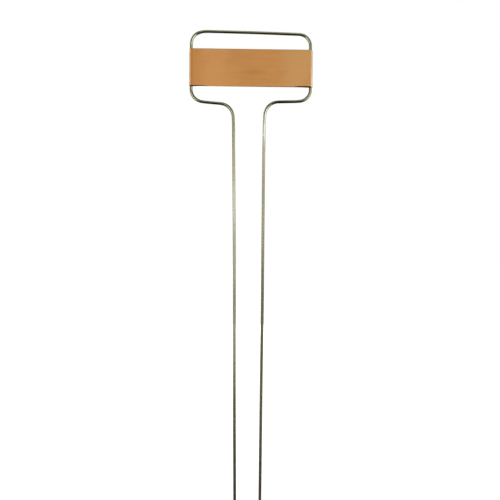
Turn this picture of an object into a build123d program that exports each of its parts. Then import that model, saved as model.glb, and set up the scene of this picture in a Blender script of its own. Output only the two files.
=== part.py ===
from build123d import *

import math
import os

# Plant label stake: one bent wire whose head carries a copper name plate.
# Millimetres. +Z runs up the stake, +X to the reader's right, and the plate faces -Y.
# The origin is level with the tips of the legs, below the middle of the head.

# Wire, with its bend radii measured on the centre line
wire_diameter = 2.1
left_corner_radius = 9.1
right_corner_radius = 8.5
leg_bend_radius = 10.2
tip_chamfer = 0.3

# Head, over the outside of the wire, then from its lower corners to its top left one
head_width = 88.0
head_height = 50.4

# Legs, up to the head's lower corners and between their centre lines
shoulder_height = 329.8
leg_spacing = 22.4
tip_spacing = 17.5

# Bends set by hand: each shoulder falls to its leg, the top bar falls to the right,
# and the legs stand a little left of the middle of the head
left_shoulder_fall = 2.8
right_shoulder_fall = 0.9
top_bar_drop = 2.4
leg_offset = 1.2

# Name plate, a copper strip folded round both sides of the head
sheet_thickness = 0.4
fold_clearance = 0.05
flap_reach = 10.0
flap_gap = 0.1
end_play = 2.0

# Places that follow from those sizes
wire_radius = wire_diameter / 2
side_x = head_width / 2 - wire_radius
inside_radius = wire_radius + fold_clearance
outside_radius = inside_radius + sheet_thickness


def wire_line():
    """Centre line of the wire from the left tip to the right one, seen from the front."""
    left_leg_top = shoulder_height - left_shoulder_fall
    right_leg_top = shoulder_height - right_shoulder_fall
    head_top = shoulder_height + head_height
    corners = [
        (-tip_spacing / 2 - leg_offset, 0, 0),
        (-leg_spacing / 2 - leg_offset, 0, left_leg_top),
        (-side_x, 0, shoulder_height),
        (-side_x, 0, head_top),
        (side_x, 0, head_top - top_bar_drop),
        (side_x, 0, shoulder_height),
        (leg_spacing / 2 - leg_offset, 0, right_leg_top),
        (tip_spacing / 2 - leg_offset, 0, 0),
    ]
    left_bends = [leg_bend_radius, left_corner_radius, left_corner_radius]
    right_bends = [right_corner_radius, right_corner_radius, leg_bend_radius]
    return FilletPolyline(*corners, radius=left_bends + right_bends)


def make_wire_stake(centre_line):
    """One length of round wire bent into the head and both legs, with its cut tips eased."""
    section = Plane(origin=centre_line @ 0, z_dir=centre_line % 0) * Circle(wire_radius)
    wire = sweep(section, path=centre_line)
    tips = wire.edges().group_by(Axis.Z)[0]
    return chamfer(tips, tip_chamfer)


def straight_sides(centre_line):
    """Heights between which both sides of the head run straight up."""
    uprights = [edge for edge in centre_line.edges() if abs((edge @ 0).X - (edge @ 1).X) < fold_clearance]
    ends = [sorted([(edge @ 0).Z, (edge @ 1).Z]) for edge in uprights]
    return max(low for low, high in ends), min(high for low, high in ends)


def fold_lines():
    """Outline of the right-hand fold: both faces of the sheet curl round the wire,
    then lean back until the cut edge of the flap lies behind the face of the plate."""
    run = flap_reach - outside_radius
    fall = inside_radius - flap_gap
    lean = math.atan2(fall, run) + math.asin(inside_radius / math.hypot(run, fall))
    turn = 180 + math.degrees(lean)
    flap_length = math.sqrt(run**2 + fall**2 - inside_radius**2)
    inner_curl, outer_curl = [
        CenterArc((side_x, 0), radius, -90, turn) for radius in (inside_radius, outside_radius)
    ]
    inner_flap, outer_flap = [PolarLine(curl @ 1, flap_length, turn) for curl in (inner_curl, outer_curl)]
    cut_edge = Line(inner_flap @ 1, outer_flap @ 1)
    return [inner_curl, inner_flap, cut_edge, outer_flap, outer_curl]


def make_name_plate(lowest, highest):
    """Copper strip that can slide between two heights, its face forward and its flaps behind."""
    back_line = Line((-side_x, -inside_radius), (side_x, -inside_radius))
    face_line = Line((-side_x, -outside_radius), (side_x, -outside_radius))
    right_fold = fold_lines()
    left_fold = [mirror(edge, Plane.YZ) for edge in right_fold]
    section = make_face([back_line, face_line] + right_fold + left_fold)
    height = highest - lowest - 2 * end_play
    return extrude(Pos(0, 0, lowest + end_play) * section, height)


centre_line = wire_line()
lowest, highest = straight_sides(centre_line)
parts = {
    "wire_stake": make_wire_stake(centre_line),
    "name_plate": make_name_plate(lowest, highest),
}

os.makedirs("parts", exist_ok=True)
for name, solid in parts.items():
    solid.label = name
    export_step(solid, f"parts/{name}.step")
    print(f"{name}: {solid.volume:.1f} mm3, {solid.bounding_box()}")
print(f"the sides of the head run straight from {lowest:.3f} to {highest:.3f} mm")
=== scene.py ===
"""Looks of the plant label stake: a bent wire with a copper name plate folded round its head.

Everything is in metres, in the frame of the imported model. Lengths written in millimetres
are multiplied by MM.
"""

import math

import bpy
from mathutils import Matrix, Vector, noise


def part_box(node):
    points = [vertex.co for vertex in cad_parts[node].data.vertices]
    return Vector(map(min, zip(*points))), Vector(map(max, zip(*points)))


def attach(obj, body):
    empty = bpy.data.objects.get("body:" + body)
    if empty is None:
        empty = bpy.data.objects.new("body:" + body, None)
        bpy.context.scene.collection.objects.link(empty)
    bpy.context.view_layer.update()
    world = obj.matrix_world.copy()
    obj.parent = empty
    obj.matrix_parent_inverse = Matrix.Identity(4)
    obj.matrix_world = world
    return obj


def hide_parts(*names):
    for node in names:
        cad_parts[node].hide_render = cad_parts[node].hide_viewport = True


MM = 0.001

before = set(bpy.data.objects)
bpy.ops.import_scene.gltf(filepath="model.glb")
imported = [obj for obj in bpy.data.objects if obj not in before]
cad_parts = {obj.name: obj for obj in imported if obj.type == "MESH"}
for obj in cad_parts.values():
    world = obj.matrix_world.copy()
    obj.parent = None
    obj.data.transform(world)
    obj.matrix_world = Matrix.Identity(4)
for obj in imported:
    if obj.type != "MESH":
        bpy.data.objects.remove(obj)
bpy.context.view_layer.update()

# Wire, with the lengths of its centre line that the frame was built from
WIRE_RADIUS = 1.05 * MM
LEFT_CORNER_RADIUS = 9.1 * MM
RIGHT_CORNER_RADIUS = 8.5 * MM
LEG_BEND_RADIUS = 10.2 * MM
TIP_CHAMFER = 0.3 * MM
SIDE_X = 42.95 * MM
SHOULDER_Z = 329.8 * MM
LEFT_LEG_TOP_Z = 327.0 * MM
RIGHT_LEG_TOP_Z = 328.9 * MM
HEAD_LEFT_Z = 380.2 * MM
HEAD_RIGHT_Z = 377.8 * MM
LEG_SPACING = 22.4 * MM
TIP_SPACING = 17.5 * MM
LEG_OFFSET = 1.2 * MM

# Sides and steps of the wire's mesh, and how much the bending jig spreads the wire
WIRE_SIDES = 32
RUN_SPACING = 2.5 * MM
BEND_SPACING = math.radians(4)
BEND_SPREAD = 0.05

# Small bows of the legs to the right and apart, by height: middle, reach to each side, depth
LEFT_LEG_BOWS = ((215 * MM, 110 * MM, 0.30 * MM),)
RIGHT_LEG_BOWS = ((180 * MM, 60 * MM, 0.16 * MM), (280 * MM, 60 * MM, -0.12 * MM))
LEG_TOP_SPREAD = ((320 * MM, 9 * MM, 0.22 * MM),)

# Small bows of the head upwards, by distance from its middle
SHOULDER_BOWS = ((SIDE_X / 2, SIDE_X / 2, 0.15 * MM), (SIDE_X - 6 * MM, 6.5 * MM, 0.20 * MM))
TOP_BAR_BOWS = ((0, 46 * MM, 0.21 * MM), (-36 * MM, 5 * MM, -0.28 * MM))
TOP_BAR_END_X = SIDE_X - 2 * MM

# The legs also sway to the front and back, in waves per metre, and run straight at both ends
LEG_SWAY = 0.6 * MM
SWAY_WAVES = 11
SWAY_FADE = 40 * MM

# Stretches of painted shade on the zinc, and of painted highlight below zero: place from the left tip,
# reach, depth
PAINTED_ZINC_SHADING = (
    (185 * MM, 45 * MM, 0.35),
    (255 * MM, 45 * MM, -0.25),
    (316 * MM, 20 * MM, 0.25),
    (355 * MM, 14 * MM, 0.25),
    (386 * MM, 8 * MM, 0.3),
    (398 * MM, 11 * MM, -0.3),
    (440 * MM, 80 * MM, -0.25),
    (478 * MM, 14 * MM, -0.25),
    (489 * MM, 7 * MM, 0.35),
    (503 * MM, 34 * MM, 0.5),
    (545 * MM, 15 * MM, 0.55),
    (569 * MM, 24 * MM, -0.65),
    (720 * MM, 150 * MM, 0.6),
)

# Stretches of dull zinc beside the bends, which are dull by DULL_BEND
DULL_ZINC = (
    (316 * MM, 24 * MM, 1.0),
    (487 * MM, 14 * MM, 0.8),
)
DULL_BEND = 0.4

# Heights between which the bloom of the soil comes up
BLOOM_START_Z = 0.19
BLOOM_FULL_Z = 0.07

# Name plate, with its flaps a little opened, slanted and narrowed, and its face dished
SHEET = 0.4 * MM
INNER_RADIUS = 1.09 * MM
FLAP_REACH = 10.0 * MM
LEFT_FLAP_GAP = 0.4 * MM
RIGHT_FLAP_GAP = 0.9 * MM
FLAP_SLANT = 0.5 * MM
LEFT_FLAP_NARROWING = 0.7 * MM
RIGHT_FLAP_NARROWING = 1.2 * MM
FACE_DISH = 0.14 * MM
DISH_REACH = 30 * MM
EDGE_ROUND = 0.16 * MM
PLATE_SLOPE = math.tan(math.radians(0.52))
PLATE_DROP = 0.4 * MM
PLATE_TRIM = 0.15 * MM
PLATE_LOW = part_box("name_plate")[0].z
PLATE_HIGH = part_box("name_plate")[1].z
PLATE_HEIGHT = PLATE_HIGH - PLATE_LOW - 2 * PLATE_TRIM

# Steps of the plate's mesh along half of the strip, up it and round its cut edges
FACE_STEPS = 42
CURL_STEPS = 20
FLAP_STEPS = 12
HEIGHT_STEPS = 26
EDGE_STEPS = 6

# Photograph: 500 pixels cover this width at the stake, seen from the front
PICTURE_WIDTH = 360.5 * MM
CAMERA_DISTANCE = 0.4
CAMERA_HEIGHT = 222.5 * MM
CAMERA_ROLL = math.radians(0.25)
SENSOR = 36.0

# Cards that stand round the stake in two rows, lie on the floor and close the room above
CARD_RADIUS = 1.35
UPPER_ROW_Z = 0.85
CARD_TOP_Z = 2.0
FLOOR_CARD_Z = 0.1 * MM
FLOOR_CARD_X = 0.36
HALF_ROOM = 1.4
DARK_CARD = (0.05, 0.045, 0.03, 1)
WARM_CARD = (1.15, 1.1, 0.8, 1)


# Mesh helpers
def new_mesh(name, points, faces, layers):
    """Smooth mesh with layers of values or places kept on its points, for the materials to read."""
    mesh = bpy.data.meshes.new(name)
    mesh.from_pydata([tuple(p) for p in points], [], faces)
    mesh.polygons.foreach_set("use_smooth", [True] * len(faces))
    for title, values in layers.items():
        if isinstance(values[0], float):
            mesh.attributes.new(title, "FLOAT", "POINT").data.foreach_set("value", values)
        else:
            flat = [number for place in values for number in place]
            mesh.attributes.new(title, "FLOAT_VECTOR", "POINT").data.foreach_set("vector", flat)
    mesh.update()
    return add_object(name, mesh)


def add_object(name, data):
    thing = bpy.data.objects.new(name, data)
    bpy.context.scene.collection.objects.link(thing)
    return thing


def bridge(rings, size):
    """Quads that join each closed ring of points to the next one, and a cap at each end."""
    faces = [tuple(range(size)), tuple(range((rings - 1) * size, rings * size))[::-1]]
    for ring in range(rings - 1):
        start = ring * size
        for k in range(size):
            following = (k + 1) % size
            faces.append((start + k, start + following, start + size + following, start + size + k))
    return faces


def swell(place, middle, reach):
    """Rises smoothly from 0 to 1 at the middle and falls to 0 again, reach away on each side."""
    away = min(1.0, abs(place - middle) / reach)
    return (1 + math.cos(math.pi * away)) / 2


def swells(place, rises):
    """Sum of swells, each given by its middle, reach and depth."""
    return sum(depth * swell(place, middle, reach) for middle, reach, depth in rises)


# Wire
def rounded_route(corners, radii):
    """Places, directions and share of bend along straight runs joined by arcs, in the head's plane."""
    stations = []

    def run(start, end):
        steps = math.ceil((end - start).length / RUN_SPACING)
        heading = (end - start).normalized()
        for step in range(steps):
            stations.append((start.lerp(end, step / steps), heading, 0.0))

    here = corners[0]
    for before, corner, after, radius in zip(corners, corners[1:], corners[2:], radii):
        inward = (corner - before).normalized()
        outward = (after - corner).normalized()
        turn = inward.angle(outward)
        reach = radius * math.tan(turn / 2)
        arc_start = corner - inward * reach
        run(here, arc_start)
        centre = corner + (outward - inward).normalized() * radius / math.cos(turn / 2)
        spoke = arc_start - centre
        steps = math.ceil(turn / BEND_SPACING)
        for step in range(steps):
            angle = turn * step / steps
            place = centre + spoke * math.cos(angle) + inward * radius * math.sin(angle)
            heading = inward * math.cos(angle) - spoke / radius * math.sin(angle)
            stations.append((place, heading.normalized(), math.sin(math.pi * step / steps)))
        here = corner + outward * reach
    run(here, corners[-1])
    stations.append((corners[-1], (corners[-1] - here).normalized(), 0.0))
    return stations


def hand_bent(point):
    """Small bows of a wire straightened by hand, none of them where the plate holds it."""
    bow = Vector((0, 0, 0))
    leg_end = SHOULDER_Z - LEG_BEND_RADIUS
    if abs(point.x) < LEG_SPACING:
        bow.x = math.copysign(swells(point.z, LEG_TOP_SPREAD), point.x)
    if point.z < leg_end:
        bow.x += swells(point.z, LEFT_LEG_BOWS if point.x < 0 else RIGHT_LEG_BOWS)
        fade = min(1.0, (leg_end - point.z) / SWAY_FADE, point.z / SWAY_FADE)
        wave = Vector((point.z * SWAY_WAVES, math.copysign(5.0, point.x), 7.7))
        bow.y = LEG_SWAY * fade * noise.noise(wave)
    elif point.z < SHOULDER_Z + LEG_BEND_RADIUS:
        bow.z = swells(abs(point.x), SHOULDER_BOWS)
    elif abs(point.x) < TOP_BAR_END_X:
        bow.z = swells(point.x, TOP_BAR_BOWS)
    return bow


def cut_tip():
    """Depths and radii of the rings of a cut tip: a slight hollow, a rounded rim and a chamfer."""
    rim = WIRE_RADIUS - TIP_CHAMFER
    return [
        (0.05 * MM, rim * 0.4),
        (0.0, rim * 0.94),
        (TIP_CHAMFER * 0.08, rim * 1.02),
        (TIP_CHAMFER * 0.4, WIRE_RADIUS - TIP_CHAMFER * 0.4),
        (TIP_CHAMFER, WIRE_RADIUS),
    ]


def make_wire():
    tip_x, leg_x = TIP_SPACING / 2, LEG_SPACING / 2
    corners = [
        Vector((-tip_x - LEG_OFFSET, 0, 0)),
        Vector((-leg_x - LEG_OFFSET, 0, LEFT_LEG_TOP_Z)),
        Vector((-SIDE_X, 0, SHOULDER_Z)),
        Vector((-SIDE_X, 0, HEAD_LEFT_Z)),
        Vector((SIDE_X, 0, HEAD_RIGHT_Z)),
        Vector((SIDE_X, 0, SHOULDER_Z)),
        Vector((leg_x - LEG_OFFSET, 0, RIGHT_LEG_TOP_Z)),
        Vector((tip_x - LEG_OFFSET, 0, 0)),
    ]
    radii = [LEG_BEND_RADIUS] + [LEFT_CORNER_RADIUS] * 2 + [RIGHT_CORNER_RADIUS] * 2 + [LEG_BEND_RADIUS]
    stations = rounded_route(corners, radii)
    points = []
    layers = {"unbent": [], "height": [], "painted_light_and_shade": [], "dull": []}

    def ring(centre, heading, bend, radius, along):
        outward = heading.cross(Vector((0, 1, 0))).normalized()
        spread = radius * (1 + BEND_SPREAD * bend)
        # Painted shade above zero and painted highlight below zero, along the wire
        painted_shading = swells(along, PAINTED_ZINC_SHADING)
        dullness = max(swells(along, DULL_ZINC), DULL_BEND * bend)
        for k in range(WIRE_SIDES):
            angle = 2 * math.pi * k / WIRE_SIDES
            across, depth = math.cos(angle), math.sin(angle)
            points.append(centre + outward * across * spread + Vector((0, depth * radius, 0)))
            layers["unbent"].append((across * radius, depth * radius, along))
            layers["height"].append(centre.z)
            layers["painted_light_and_shade"].append(painted_shading)
            layers["dull"].append(dullness)

    start, heading, _ = stations[0]
    for depth, radius in cut_tip():
        ring(start + heading * depth, heading, 0.0, radius, depth)
    along, previous = 0.0, start
    for centre, heading, bend in stations[1:-1]:
        along += (centre - previous).length
        previous = centre
        ring(centre + hand_bent(centre), heading, bend, WIRE_RADIUS, along)
    end, heading, _ = stations[-1]
    length = along + (end - previous).length
    for depth, radius in reversed(cut_tip()):
        ring(end - heading * depth, heading, 0.0, radius, length - depth)
    return new_mesh("bent_wire", points, bridge(len(points) // WIRE_SIDES, WIRE_SIDES), layers)


# Name plate
def half_section(gap):
    """Middle line of the sheet from the centre of the plate to the right flap's cut edge, from above:
    places, headings and the shares of the curl and of the flap passed."""
    middle = INNER_RADIUS + SHEET / 2
    run = FLAP_REACH - (INNER_RADIUS + SHEET)
    fall = INNER_RADIUS - gap
    lean = math.atan2(fall, run) + math.asin(INNER_RADIUS / math.hypot(run, fall))
    flap = math.sqrt(run**2 + fall**2 - INNER_RADIUS**2)
    half = []
    for step in range(FACE_STEPS):
        half.append((Vector((SIDE_X * step / FACE_STEPS, -middle)), Vector((1, 0)), 0.0, 0.0))
    for step in range(CURL_STEPS + 1):
        angle = -math.pi / 2 + (math.pi + lean) * step / CURL_STEPS
        spoke = Vector((math.cos(angle), math.sin(angle)))
        heading = Vector((-spoke.y, spoke.x))
        half.append((Vector((SIDE_X, 0)) + spoke * middle, heading, step / CURL_STEPS, 0.0))
    end, heading, _, _ = half[-1]
    for step in range(1, FLAP_STEPS + 1):
        half.append((end + heading * flap * step / FLAP_STEPS, heading, 1.0, step / FLAP_STEPS))
    return half


def plate_section():
    """The whole middle line from the left flap's cut edge to the right one's."""
    left = half_section(LEFT_FLAP_GAP)[:0:-1]
    mirrored = [(Vector((-p.x, p.y)), Vector((d.x, -d.y)), curl, -flap) for p, d, curl, flap in left]
    return mirrored + half_section(RIGHT_FLAP_GAP)


def edge_loop():
    """Heights and sides of the sheet round its rectangle, front face first, with rounded cut edges."""
    span = PLATE_HEIGHT - 2 * EDGE_ROUND
    front = [(span * (0.5 - row / HEIGHT_STEPS), -1.0) for row in range(HEIGHT_STEPS + 1)]
    angles = [math.pi * step / EDGE_STEPS for step in range(1, EDGE_STEPS)]
    lower_edge = [(-span / 2 - EDGE_ROUND * math.sin(angle), -math.cos(angle)) for angle in angles]
    back = [(h, 1.0) for h, _ in reversed(front)]
    upper_edge = [(span / 2 + EDGE_ROUND * math.sin(angle), math.cos(angle)) for angle in angles]
    return front + lower_edge + back + upper_edge


def sheet_thickness(from_end):
    """Thickness of the sheet at a distance from the cut end of a flap, which is rounded."""
    share = min(1.0, from_end / EDGE_ROUND)
    return SHEET * math.sqrt(max(0.12, 1 - (1 - share) ** 2))


def make_plate():
    section = plate_section()
    loop = edge_loop()
    middle_z = (PLATE_HIGH + PLATE_LOW) / 2 - PLATE_DROP
    travelled = [0.0]
    for before, after in zip(section, section[1:]):
        travelled.append(travelled[-1] + (after[0] - before[0]).length)
    total = travelled[-1]
    points, unbent = [], []
    for (place, heading, curl, flap), passed in zip(section, travelled):
        normal = Vector((-heading.y, heading.x))
        thickness = sheet_thickness(min(passed, total - passed))
        along = passed - total / 2
        narrowing = RIGHT_FLAP_NARROWING if along > 0 else LEFT_FLAP_NARROWING
        for h, side in loop:
            slant = heading * flap * FLAP_SLANT * h / PLATE_HEIGHT
            flat = place + normal * side * thickness / 2 + slant
            dish = 0.0 if curl > 0.0 else FACE_DISH * swell(place.x, 0, DISH_REACH)
            dish *= 0.6 + 0.4 * noise.noise(Vector((place.x * 45, h * 45, 2.2)))
            rise = h * (1 - curl * narrowing / PLATE_HEIGHT)
            points.append(Vector((flat.x, flat.y + dish, middle_z + rise - along * PLATE_SLOPE)))
            unbent.append((along, h, side * SHEET / 2))
    return new_mesh("folded_plate", points, bridge(len(section), len(loop)), {"unbent": unbent})


# Materials
class Nodes:
    """Short calls that add linked shader nodes to one node tree."""

    def __init__(self, tree):
        self.tree = tree
        tree.nodes.clear()

    def add(self, kind, inputs=(), **settings):
        node = self.tree.nodes.new(kind)
        for key, value in settings.items():
            setattr(node, key, value)
        for key, value in dict(inputs).items():
            self.feed(node.inputs[key], value)
        return node

    def feed(self, socket, value):
        if isinstance(value, bpy.types.NodeSocket):
            self.tree.links.new(value, socket)
        else:
            socket.default_value = value

    def attribute(self, title, output):
        return self.add("ShaderNodeAttribute", attribute_name=title).outputs[output]

    def stretched(self, place, scale):
        return self.add("ShaderNodeMapping", {"Vector": place, "Scale": scale}).outputs[0]

    def noise(self, place, scale, detail=2.0, roughness=0.5):
        inputs = {"Vector": place, "Scale": scale, "Detail": detail, "Roughness": roughness}
        return self.add("ShaderNodeTexNoise", inputs).outputs["Fac"]

    def ramp(self, value, low, high, to_low=0.0, to_high=1.0):
        """Eased step of value between low and high."""
        inputs = {0: value, 1: low, 2: high, 3: to_low, 4: to_high}
        return self.add("ShaderNodeMapRange", inputs, interpolation_type="SMOOTHSTEP").outputs[0]

    def spot(self, place, centre, radii):
        """1 at a place on the face, falling to 0 at the rim of an ellipse round it."""
        moved = self.add("ShaderNodeVectorMath", {0: place, 1: centre}, operation="SUBTRACT").outputs[0]
        shares = tuple(1 / radius for radius in radii) + (0,)
        away = self.add("ShaderNodeVectorMath", {0: self.stretched(moved, shares)}, operation="LENGTH")
        return self.ramp(away.outputs["Value"], 0.0, 1.0, 1.0, 0.0)

    def mix(self, factor, a, b):
        node = self.add("ShaderNodeMix", data_type="RGBA")
        for key, value in ((0, factor), (6, a), (7, b)):
            self.feed(node.inputs[key], value)
        return node.outputs[2]

    def math(self, operation, a, b=0.0):
        return self.add("ShaderNodeMath", {0: a, 1: b}, operation=operation).outputs[0]

    def bump(self, height, strength, distance, under=None):
        inputs = {"Height": height, "Strength": strength, "Distance": distance}
        if under is not None:
            inputs["Normal"] = under
        return self.add("ShaderNodeBump", inputs).outputs[0]


def new_nodes(name):
    """New material and the nodes in it."""
    material = bpy.data.materials.new(name)
    material.use_nodes = True
    return material, Nodes(material.node_tree)


def metal(name, build):
    """Metal whose colour, roughness and normal come from build(nodes)."""
    material, n = new_nodes(name)
    colour, roughness, normal = build(n)
    inputs = {"Base Color": colour, "Metallic": 1.0, "Roughness": roughness, "Normal": normal}
    n.add("ShaderNodeOutputMaterial", {"Surface": n.add("ShaderNodeBsdfPrincipled", inputs).outputs[0]})
    return material


def zinc(n):
    """Galvanised wire: soft clouds and drawn lines in the zinc, stretches of painted shade and painted
    highlight, its dull stretches, and a brown bloom towards the tips, which stand in soil."""
    shade, light, brown = (0.285, 0.28, 0.17, 1), (0.345, 0.34, 0.225, 1), (0.31, 0.265, 0.15, 1)
    # Near-black painted shade and pale painted highlight, where the wire's reflections fall dark or bright
    painted_shade_colour, painted_highlight_colour = (0.06, 0.055, 0.03, 1), (0.72, 0.705, 0.57, 1)
    dull_olive, soil_brown = (0.355, 0.35, 0.19, 1), (0.36, 0.32, 0.20, 1)

    place = n.attribute("unbent", "Vector")
    drawn = n.noise(n.stretched(place, (1, 1, 0.012)), 5200.0)
    cloud = n.noise(n.stretched(place, (1, 1, 0.25)), 240.0, 3.0)
    drift = n.noise(n.stretched(place, (0.2, 0.2, 1)), 30.0)
    scuff = n.noise(place, 900.0, 3.0, 0.6)

    # Painted light and shade along the wire, with a little random tone from the scuffs
    painted_light_and_shade = n.math("ADD", n.attribute("painted_light_and_shade", "Fac"), n.ramp(scuff, 0.3, 0.7, -0.1, 0.1))
    dull = n.math("MULTIPLY", n.attribute("dull", "Fac"), n.ramp(scuff, 0.35, 0.6, 0.7, 1.0))
    soil = n.ramp(n.attribute("height", "Fac"), BLOOM_START_Z, BLOOM_FULL_Z)
    bloom = n.math("MULTIPLY", soil, n.ramp(scuff, 0.35, 0.65, 0.5, 1.0))

    colour = n.mix(n.ramp(cloud, 0.32, 0.68), shade, light)
    colour = n.mix(n.ramp(drift, 0.42, 0.66, 0.0, 0.8), colour, brown)
    colour = n.mix(n.ramp(painted_light_and_shade, 0.0, 0.8), colour, painted_shade_colour)
    colour = n.mix(n.ramp(painted_light_and_shade, 0.0, -0.8), colour, painted_highlight_colour)
    colour = n.mix(dull, colour, dull_olive)
    colour = n.mix(bloom, colour, soil_brown)

    roughness = n.math("ADD", n.ramp(cloud, 0.3, 0.7, 0.10, 0.15), n.math("MULTIPLY", dull, 0.35))
    roughness = n.math("ADD", roughness, n.math("MULTIPLY", bloom, 0.3))
    normal = n.bump(scuff, 0.12, 0.01 * MM, n.bump(drawn, 0.25, 0.006 * MM))
    return colour, roughness, normal


def copper(n):
    """Rolled copper sheet: fine lines along the strip, soft tarnish, painted sheen along the face, a darker
    patch in its middle, rubbed folds with a painted highlight, painted shade in the creases by the folds and
    along the lower rim, a painted highlight along the upper rim, and a duller inner side with painted shade
    in the flaps."""
    place = n.attribute("unbent", "Vector")
    axes = n.add("ShaderNodeSeparateXYZ", {0: place}).outputs
    along, height, depth = axes[0], axes[1], axes[2]
    reach = n.math("ABSOLUTE", along)
    lines = n.noise(n.stretched(place, (0.01, 1, 1)), 3400.0, 3.0)
    bands = n.noise(n.stretched(place, (0.07, 1, 1)), 330.0)
    cloud = n.noise(n.stretched(place, (1.0, 0.7, 1)), 70.0)
    marks = n.noise(n.stretched(place, (0.5, 1, 1)), 120.0, 3.0, 0.6)

    # Face, whose colour drifts along the strip in painted sheen, lighter and darker where reflections fall
    sheen_place = n.math("ADD", along, n.math("MULTIPLY", cloud, 10 * MM))
    colour = n.mix(n.ramp(bands, 0.3, 0.7), (0.77, 0.378, 0.124, 1), (0.805, 0.412, 0.143, 1))
    colour = n.mix(n.ramp(sheen_place, 3 * MM, -22 * MM, 0.0, 0.8), colour, (0.865, 0.455, 0.168, 1))
    colour = n.mix(n.ramp(sheen_place, -25 * MM, -36 * MM, 0.0, 0.8), colour, (0.765, 0.36, 0.107, 1))
    colour = n.mix(n.ramp(sheen_place, 20 * MM, 36 * MM, 0.0, 0.9), colour, (0.80, 0.448, 0.178, 1))
    colour = n.mix(n.ramp(cloud, 0.5, 0.75, 0.0, 0.35), colour, (0.72, 0.345, 0.117, 1))

    # Darker patch in the middle of the face, and smears
    middle_patch = n.spot(place, (3 * MM, -2.5 * MM, 0), (12 * MM, 4 * MM))
    smear = n.math("MAXIMUM", n.math("MULTIPLY", middle_patch, 0.32), n.ramp(marks, 0.66, 0.8, 0.0, 0.2))
    colour = n.mix(smear, colour, (0.52, 0.25, 0.085, 1))

    # Painted shade in the crease where each fold starts, and rubbed copper round the fold with a painted
    # highlight on it, paler on the left and low down
    crease_shade = n.math("MULTIPLY", n.ramp(reach, 41.2 * MM, 42.3 * MM), n.ramp(reach, 43.5 * MM, 42.6 * MM))
    crease_shade = n.math("MULTIPLY", crease_shade, n.ramp(along, 40 * MM, -40 * MM, 0.15, 0.4))
    colour = n.mix(crease_shade, colour, (0.48, 0.20, 0.05, 1))
    # Painted highlight round each fold, where the roll catches the light, on copper that is also smoother
    # there
    rub_and_highlight = n.math("MULTIPLY", n.ramp(reach, 43.0 * MM, 44.0 * MM), n.ramp(reach, 48.5 * MM, 46.5 * MM))
    low = n.ramp(height, -2 * MM, -10 * MM)
    right_fold_highlight = n.mix(low, (0.74, 0.585, 0.405, 1), (0.94, 0.78, 0.57, 1))
    left = n.ramp(along, 10 * MM, -10 * MM)
    fold_highlight_colour = n.mix(left, right_fold_highlight, (1.0, 0.84, 0.62, 1))
    colour = n.mix(n.math("MULTIPLY", rub_and_highlight, 0.9), colour, fold_highlight_colour)

    # Painted shade along the lower rim, deeper near the folds, where the flaps behind the face lie in
    # shadow, and a painted highlight along the upper rim
    half = PLATE_HEIGHT / 2
    near_fold = n.math("MAXIMUM", n.ramp(reach, 27 * MM, 36 * MM), n.ramp(along, 2 * MM, 14 * MM, 0.0, 0.35))
    rise = n.math("MULTIPLY", near_fold, n.ramp(along, -40 * MM, 40 * MM, -0.35 * MM, -0.65 * MM))
    rim = n.ramp(n.math("ADD", height, rise), 0.4 * MM - half, 0.1 * MM - half)
    rim = n.math("MULTIPLY", rim, n.ramp(near_fold, 0.0, 1.0, 0.4, 1.0))
    rim = n.math("MULTIPLY", rim, n.math("SUBTRACT", 1.0, rub_and_highlight))
    rim_shade_colour = n.mix(near_fold, (0.16, 0.055, 0.012, 1), (0.06, 0.02, 0.005, 1))
    colour = n.mix(rim, colour, rim_shade_colour)
    # Painted highlight along the upper rim
    upper_rim_highlight = n.ramp(height, half - 0.9 * MM, half - 0.4 * MM, 0.0, 0.7)
    colour = n.mix(upper_rim_highlight, colour, (0.66, 0.44, 0.22, 1))

    # Inner side, duller copper, with painted shade in the flaps, where the gap behind the face lies in
    # shadow
    inner = n.ramp(depth, 0.0, 0.1 * MM)
    inner_dull_and_shade_colour = n.mix(n.ramp(reach, 30 * MM, 40 * MM), (0.42, 0.19, 0.06, 1), (0.12, 0.045, 0.012, 1))
    colour = n.mix(n.math("MULTIPLY", inner, 0.9), colour, inner_dull_and_shade_colour)

    roughness = n.math("SUBTRACT", n.ramp(lines, 0.3, 0.7, 0.54, 0.63), n.math("MULTIPLY", rub_and_highlight, 0.16))
    normal = n.bump(marks, 0.1, 0.02 * MM, n.bump(lines, 0.3, 0.008 * MM))
    return colour, roughness, normal


def dress(piece, material, body, node):
    piece.data.materials.append(material)
    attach(piece, body)
    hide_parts(node)


# Studio
def seen_directly(n):
    """1 for camera, glossy and transmission rays, 0 for the rest."""
    path = n.add("ShaderNodeLightPath")
    total = n.math("ADD", path.outputs["Is Camera Ray"], path.outputs["Is Glossy Ray"])
    total = n.math("ADD", total, path.outputs["Is Transmission Ray"])
    return n.math("MINIMUM", total, 1.0)


def make_world():
    world = bpy.data.worlds.new("studio")
    bpy.context.scene.world = world
    world.use_nodes = True
    n = Nodes(world.node_tree)
    colour = n.mix(seen_directly(n), (0.55, 0.55, 0.55, 1), (1, 1, 1, 1))
    background = n.add("ShaderNodeBackground", {"Color": colour, "Strength": 1.0})
    n.add("ShaderNodeOutputWorld", {"Surface": background.outputs[0]})


def level_sheet(name, low, high, z):
    """Level rectangle between two corners."""
    mesh = bpy.data.meshes.new(name)
    points = [(low[0], low[1], z), (high[0], low[1], z), (high[0], high[1], z), (low[0], high[1], z)]
    mesh.from_pydata(points, [], [(0, 1, 2, 3)])
    return mesh


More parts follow.
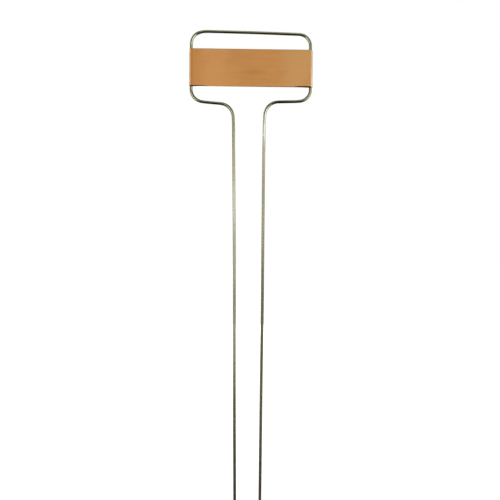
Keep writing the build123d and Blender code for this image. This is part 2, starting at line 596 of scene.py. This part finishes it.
def make_floor():
    mesh = level_sheet("floor", (-8, -8), (8, 8), 0)
    material, n = new_nodes("pale_floor")
    paint = n.add("ShaderNodeBsdfDiffuse", {"Color": (0.8, 0.8, 0.8, 1)})
    strength = n.math("MULTIPLY", seen_directly(n), 0.62)
    glow = n.add("ShaderNodeEmission", {"Color": (1, 1, 1, 1), "Strength": strength})
    both = n.add("ShaderNodeAddShader", {0: paint.outputs[0], 1: glow.outputs[0]})
    n.add("ShaderNodeOutputMaterial", {"Surface": both.outputs[0]})
    mesh.materials.append(material)
    add_object("floor", mesh)


def softbox(name, place, target, size, radiance):
    light = bpy.data.lights.new(name, "AREA")
    light.shape = "RECTANGLE"
    light.size, light.size_y = size
    light.energy = radiance * math.pi * size[0] * size[1]
    lamp = add_object(name, light)
    lamp.location = place
    lamp.rotation_euler = (Vector(target) - Vector(place)).to_track_quat("-Z", "Y").to_euler()
    lamp.visible_camera = False


def card(mesh, colour):
    """Card that only reflections see, as a photographer sets round bright metal."""
    material, n = new_nodes(mesh.name)
    glow = n.add("ShaderNodeEmission", {"Color": colour, "Strength": 1.0})
    n.add("ShaderNodeOutputMaterial", {"Surface": glow.outputs[0]})
    mesh.materials.append(material)
    panel = add_object(mesh.name, mesh)
    panel.visible_camera = False
    panel.visible_diffuse = False
    panel.visible_shadow = False
    panel.visible_transmission = False


def curved_card(name, angles, low, high):
    """Upright dark card bent round the stake, between two angles to the right of the camera."""
    steps = 12
    points = []
    for step in range(steps + 1):
        angle = math.radians(angles[0] + (angles[1] - angles[0]) * step / steps)
        for z in (low, high):
            points.append((CARD_RADIUS * math.sin(angle), -CARD_RADIUS * math.cos(angle), z))
    mesh = bpy.data.meshes.new(name)
    mesh.from_pydata(points, [], [(2 * k, 2 * k + 2, 2 * k + 3, 2 * k + 1) for k in range(steps)])
    card(mesh, DARK_CARD)


def flat_card(name, low, high, z, colour=DARK_CARD):
    card(level_sheet(name, low, high, z), colour)


def make_lights():
    softbox("left_softbox", (-0.79, -1.03, 0.3), (0, 0, 0.3), (0.70, 0.6), 2.6)
    softbox("right_softbox", (0.81, -0.63, 0.42), (0, 0, 0.42), (1.20, 0.84), 1.25)
    softbox("back_softbox", (0, 1.22, 0.45), (0, 0, 0.35), (1.35, 0.9), 1.6)


def make_cards():
    curved_card("front_card", (-22, 22), 0, UPPER_ROW_Z)
    curved_card("left_card", (-97, -52), 0, UPPER_ROW_Z)
    curved_card("right_card", (82, 97), 0, UPPER_ROW_Z)
    curved_card("high_left_card", (-67, -15), UPPER_ROW_Z, CARD_TOP_Z)
    curved_card("high_right_card", (25, 97), UPPER_ROW_Z, CARD_TOP_Z)
    curved_card("back_card", (97, 235), 0, CARD_TOP_Z)
    flat_card("ceiling_card", (-HALF_ROOM, -HALF_ROOM), (HALF_ROOM, HALF_ROOM), CARD_TOP_Z + 0.02)
    flat_card("overhead_card", (-0.55, -0.55), (0.55, 0.55), CARD_TOP_Z, WARM_CARD)
    flat_card("front_floor_card", (-FLOOR_CARD_X, -HALF_ROOM), (FLOOR_CARD_X, -FLOOR_CARD_X), FLOOR_CARD_Z)
    flat_card("under_card", (-FLOOR_CARD_X, -FLOOR_CARD_X), (FLOOR_CARD_X, 0), FLOOR_CARD_Z)
    flat_card("back_floor_card", (-HALF_ROOM, 0), (HALF_ROOM, HALF_ROOM), FLOOR_CARD_Z)


def make_camera():
    data = bpy.data.cameras.new("camera")
    data.sensor_width = SENSOR
    data.lens = SENSOR * CAMERA_DISTANCE / PICTURE_WIDTH
    data.clip_start, data.clip_end = 0.05, 50.0
    camera = add_object("camera", data)
    camera.location = (0, -CAMERA_DISTANCE, CAMERA_HEIGHT)
    camera.rotation_euler = (math.pi / 2, -CAMERA_ROLL, 0)
    bpy.context.scene.camera = camera


make_world()
make_floor()
make_lights()
make_cards()
make_camera()
bpy.context.scene.view_settings.view_transform = "Standard"

dress(make_wire(), metal("galvanised_wire", zinc), "stake", "wire_stake")
dress(make_plate(), metal("copper_sheet", copper), "plate", "name_plate")
